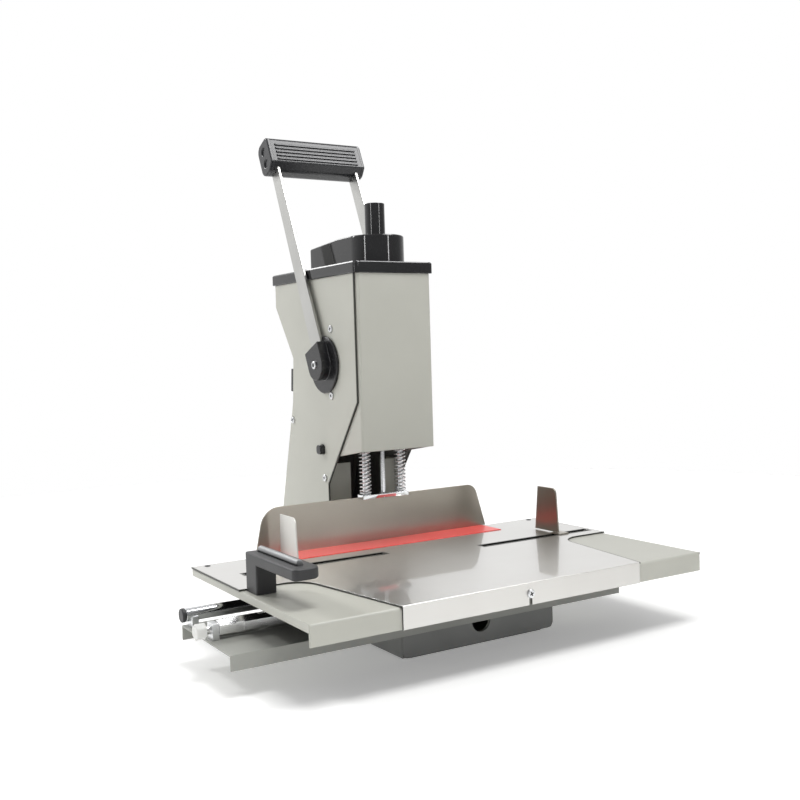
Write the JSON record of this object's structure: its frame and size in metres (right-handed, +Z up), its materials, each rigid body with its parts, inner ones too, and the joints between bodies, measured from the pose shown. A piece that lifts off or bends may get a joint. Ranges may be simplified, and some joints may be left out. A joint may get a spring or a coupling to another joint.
{
  "type": "electric_paper_drill",
  "caption": "Electric paper drill: a hand lever feeds a hollow drill and sprung presser down through paper on a sliding table with fence, side stops and index bar.",
  "frame": {"origin": "on the drill axis, on the face that the machine stands on", "axes": "+Z up, -Y towards the operator, +X to the operator's right, metres"},
  "size_m": [0.5993, 0.541, 0.6643],
  "materials": {
    "paint_grey": "satin paint",
    "paint_mid": "satin paint",
    "paint_dark": "fine textured paint",
    "steel_sheet": "brushed",
    "bright_steel": "bright",
    "machined_steel": "turned",
    "aluminium": "turned",
    "cap_black": "gloss",
    "plastic_black": "fine grain",
    "strip_red": "smooth",
    "knob_white": "smooth",
    "rubber": "matt"
  },
  "bodies": {
    "frame": {"rubber_sole": "rubber", "base_plinth": "paint_dark", "carrier_tray": "paint_grey", "guide_rod": "bright_steel", "rod_caps": "plastic_black", "carrier_brackets": "machined_steel", "left_side_panel": "paint_grey", "right_side_panel": "paint_grey", "head_front_cover": "paint_grey", "rear_cover": "paint_grey", "column_front_panel": "paint_mid", "head_plate": "machined_steel", "quill_housing": "aluminium", "top_cap": "cap_black", "belt_guard": "cap_black", "spindle_cover": "cap_black", "panel_screws": "bright_steel", "power_inlet": "plastic_black", "motor": "aluminium", "drive_belt": "rubber", "pulley_bearing": "machined_steel", "shaft_bushes": "machined_steel", "return_spring_case": "machined_steel"},
    "drawer": {"drawer_front": "paint_dark", "drawer_box": "paint_grey"},
    "lever": {"lever_shaft": "machined_steel", "drive_pinion": "machined_steel", "lever_arms": "paint_grey", "lever_hubs": "plastic_black", "hub_screws": "bright_steel", "grip": "plastic_black", "grip_end_caps": "plastic_black"},
    "quill": {"quill": "bright_steel", "feed_rack": "machined_steel", "crosshead": "machined_steel", "quill_bearings": "machined_steel", "presser_springs": "bright_steel"},
    "spindle": {"spindle": "bright_steel", "hollow_drill": "bright_steel"},
    "presser": {"presser_foot": "bright_steel", "presser_rods": "bright_steel"},
    "motor_drive": {"motor_pulley": "aluminium"},
    "spindle_drive": {"spindle_pulley": "aluminium"},
    "table": {"table_plate": "paint_grey", "steel_top": "steel_sheet", "cutting_strip": "strip_red", "flange_screw": "bright_steel", "bearing_blocks": "aluminium", "front_glides": "knob_white", "table_handle": "plastic_black", "fence_pins": "bright_steel"},
    "release": {"release_bar": "bright_steel"},
    "pawl": {"index_pawl": "bright_steel"},
    "fence": {"fence": "steel_sheet"},
    "left_stop": {"left_stop": "steel_sheet"},
    "right_stop": {"right_stop": "steel_sheet"},
    "index": {"index_bar": "bright_steel", "index_knob": "knob_white"},
    "button": {"switch_button": "plastic_black"}
  },
  "joints": [
    {"name": "lever_feed", "type": "hinge", "parent": "frame", "child": "lever", "pos_m": [0, 0.045, 0.335], "axis": [1, 0, 0], "range_deg": [0, 121.75], "stiffness_Nm_per_rad": 1, "springref_deg": -85.94},
    {"name": "quill_feed", "type": "slide", "parent": "frame", "child": "quill", "axis": [0, 0, -1], "range_m": [0, 0.0595]},
    {"name": "presser_lift", "type": "slide", "parent": "quill", "child": "presser", "axis": [0, 0, 1], "range_m": [0, 0.048], "stiffness_N_per_m": 1500, "springref_m": -0.02, "deforming": ["presser_springs"]},
    {"name": "spindle_spin", "type": "hinge", "parent": "quill", "child": "spindle", "pos_m": [0, 0, 0.3], "axis": [0, 0, 1], "continuous": true},
    {"name": "pulley_spin", "type": "hinge", "parent": "frame", "child": "spindle_drive", "pos_m": [0, 0, 0.48], "axis": [0, 0, 1], "continuous": true},
    {"name": "motor_spin", "type": "hinge", "parent": "frame", "child": "motor_drive", "pos_m": [0, 0.088, 0.48], "axis": [0, 0, 1], "continuous": true},
    {"name": "table_slide", "type": "slide", "parent": "frame", "child": "table", "axis": [1, 0, 0], "range_m": [-0.12, 0.12]},
    {"name": "left_stop_slide", "type": "slide", "parent": "table", "child": "left_stop", "axis": [1, 0, 0], "range_m": [-0.069, 0.108]},
    {"name": "right_stop_slide", "type": "slide", "parent": "table", "child": "right_stop", "axis": [1, 0, 0], "range_m": [-0.123, 0.04]},
    {"name": "fence_slide", "type": "slide", "parent": "table", "child": "fence", "axis": [0, 1, 0], "range_m": [0, 0.01]},
    {"name": "release_press", "type": "slide", "parent": "table", "child": "release", "axis": [0, 0, -1], "range_m": [0, 0.003], "stiffness_N_per_m": 800, "springref_m": -0.003},
    {"name": "pawl_lift", "type": "slide", "parent": "table", "child": "pawl", "axis": [0, 0, 1], "range_m": [0, 0.003]},
    {"name": "index_turn", "type": "hinge", "parent": "frame", "child": "index", "pos_m": [0, -0.155, 0.0575], "axis": [1, 0, 0], "continuous": true},
    {"name": "drawer_pull", "type": "slide", "parent": "frame", "child": "drawer", "axis": [0, -1, 0], "range_m": [0, 0.11]},
    {"name": "button_press", "type": "slide", "parent": "frame", "child": "button", "axis": [1, 0, 0], "range_m": [0, 0.003], "stiffness_N_per_m": 400, "springref_m": -0.002}
  ],
  "couplings": [
    {"joint": "quill_feed", "follows": "lever_feed", "m_per_rad": 0.028},
    {"joint": "pulley_spin", "follows": "spindle_spin", "ratio": 1},
    {"joint": "motor_spin", "follows": "spindle_spin", "ratio": 1.6},
    {"joint": "pawl_lift", "follows": "release_press", "ratio": 1}
  ]
}
